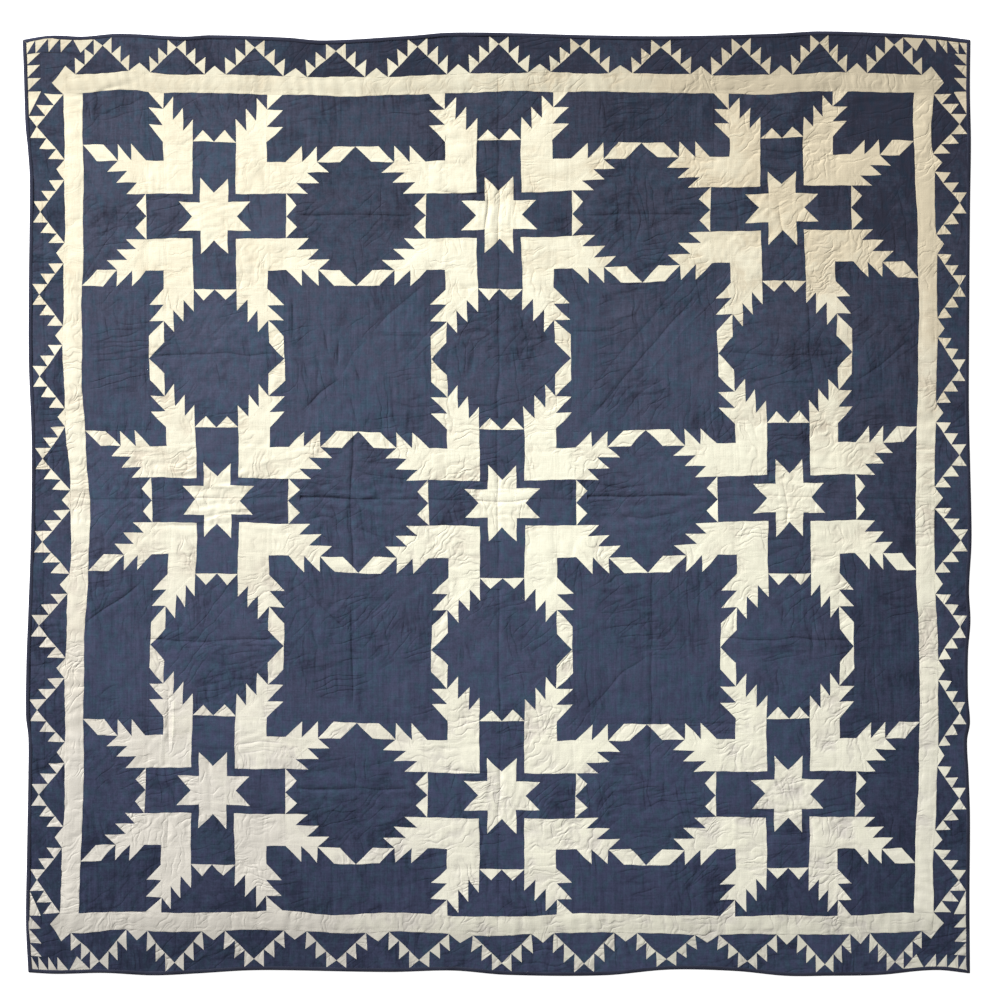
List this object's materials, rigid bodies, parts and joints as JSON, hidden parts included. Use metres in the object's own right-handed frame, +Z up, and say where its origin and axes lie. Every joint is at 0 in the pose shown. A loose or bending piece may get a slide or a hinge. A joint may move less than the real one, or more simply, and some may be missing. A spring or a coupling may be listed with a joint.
{
  "type": "star quilt blanket",
  "caption": "Flat pieced and quilted bed cover of indigo and white feathered stars, with a sawtooth border and a dark bound edge.",
  "frame": {"origin": "on the surface it lies on, under the middle of its bounding box", "axes": "+X to the quilt's right side, +Y to its head, +Z up out of its face"},
  "size_m": [1.9924, 1.9836, 0.0061],
  "materials": {
    "indigo_cotton": "plain woven cotton, washed soft, faded slate indigo",
    "white_cotton": "plain woven cotton, unbleached, aged to cream",
    "binding_cotton": "plain woven cotton, dark indigo"
  },
  "bodies": {
    "root": {"quilted_cloth": "indigo_cotton", "binding_head": "binding_cotton", "binding_foot": "binding_cotton", "binding_left": "binding_cotton", "binding_right": "binding_cotton"}
  },
  "joints": []
}
